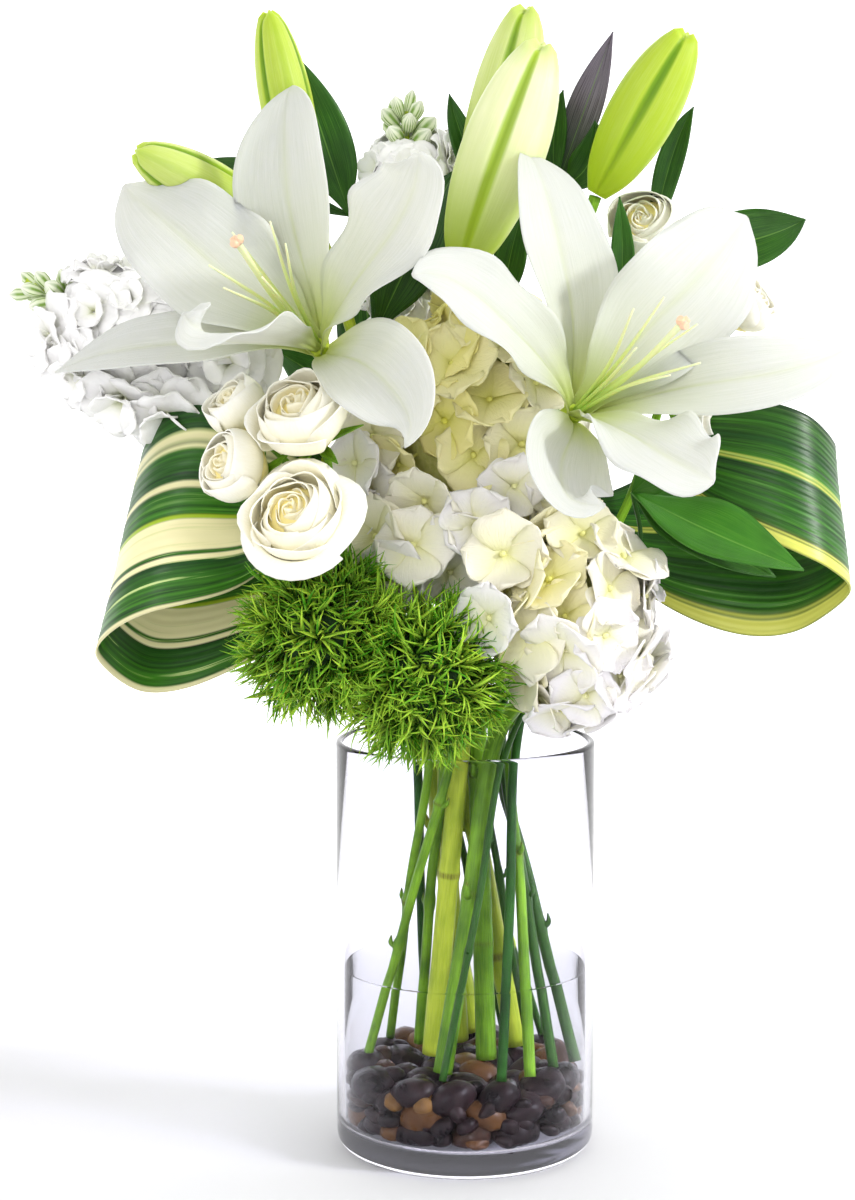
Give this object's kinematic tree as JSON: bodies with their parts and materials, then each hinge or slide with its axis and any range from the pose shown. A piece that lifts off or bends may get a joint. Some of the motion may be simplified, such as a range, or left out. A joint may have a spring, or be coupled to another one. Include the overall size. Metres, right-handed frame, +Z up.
{
  "type": "flower arrangement in a glass vase",
  "caption": "Bouquet of white lilies, hydrangea, roses, stock and green dianthus with looped striped leaves in a clear glass cylinder vase with pebbles and water.",
  "frame": {"origin": "middle of the vase's flat foot, on the surface it stands on", "axes": "+Z up along the vase, -Y towards the front of the bouquet"},
  "size_m": [0.395, 0.2544, 0.5554],
  "materials": {
    "glass": "clear, smooth",
    "water": "clear liquid",
    "pebbles": "polished river pebbles",
    "stem": "fresh green stem",
    "lime_stem": "fresh pale green stem",
    "striped_leaf": "glossy leaf with cream stripes",
    "dark_leaf": "glossy dark leaf",
    "filament": "soft satin",
    "lily_petal": "soft matt petal",
    "bud": "waxy closed bud",
    "rose_petal": "soft matt petal",
    "hydrangea_floret": "soft matt floret",
    "green_needle": "matt green needles",
    "stock_floret": "soft matt floret"
  },
  "bodies": {
    "root": {"vase": "glass", "water": "water", "pebble_bed": "pebbles", "lily_stem_left": "stem", "lily_stem_right": "stem", "hydrangea_upper_stem": "lime_stem", "hydrangea_lower_stem": "stem", "spray_rose_stem": "stem", "white_rose_stem": "stem", "stock_left_stem": "lime_stem", "stock_top_stem": "lime_stem", "dianthus_left_stem": "stem", "dianthus_right_stem": "stem", "aspidistra_left": "striped_leaf", "aspidistra_right": "striped_leaf", "lily_left_stamens": "filament", "lily_left_bloom": "lily_petal", "lily_right_stamens": "filament", "lily_right_bloom": "lily_petal", "lily_bud_left": "bud", "lily_bud_upper_left": "bud", "lily_bud_centre_back": "bud", "lily_bud_centre_front": "bud", "lily_bud_right": "bud", "spray_rose_front": "rose_petal", "spray_rose_top": "rose_petal", "spray_rose_left": "rose_petal", "spray_rose_behind": "rose_petal", "white_rose_upper": "rose_petal", "white_rose_right": "rose_petal", "white_rose_lower": "rose_petal", "ruscus_left": "dark_leaf", "ruscus_centre": "dark_leaf", "ruscus_right": "dark_leaf", "ruscus_front": "dark_leaf", "ruscus_back_left": "dark_leaf", "ruscus_back_right": "dark_leaf", "hydrangea_upper": "hydrangea_floret", "hydrangea_lower": "hydrangea_floret", "dianthus_left": "green_needle", "dianthus_right": "green_needle", "stock_left_florets": "stock_floret", "stock_top_florets": "stock_floret"}
  },
  "joints": []
}
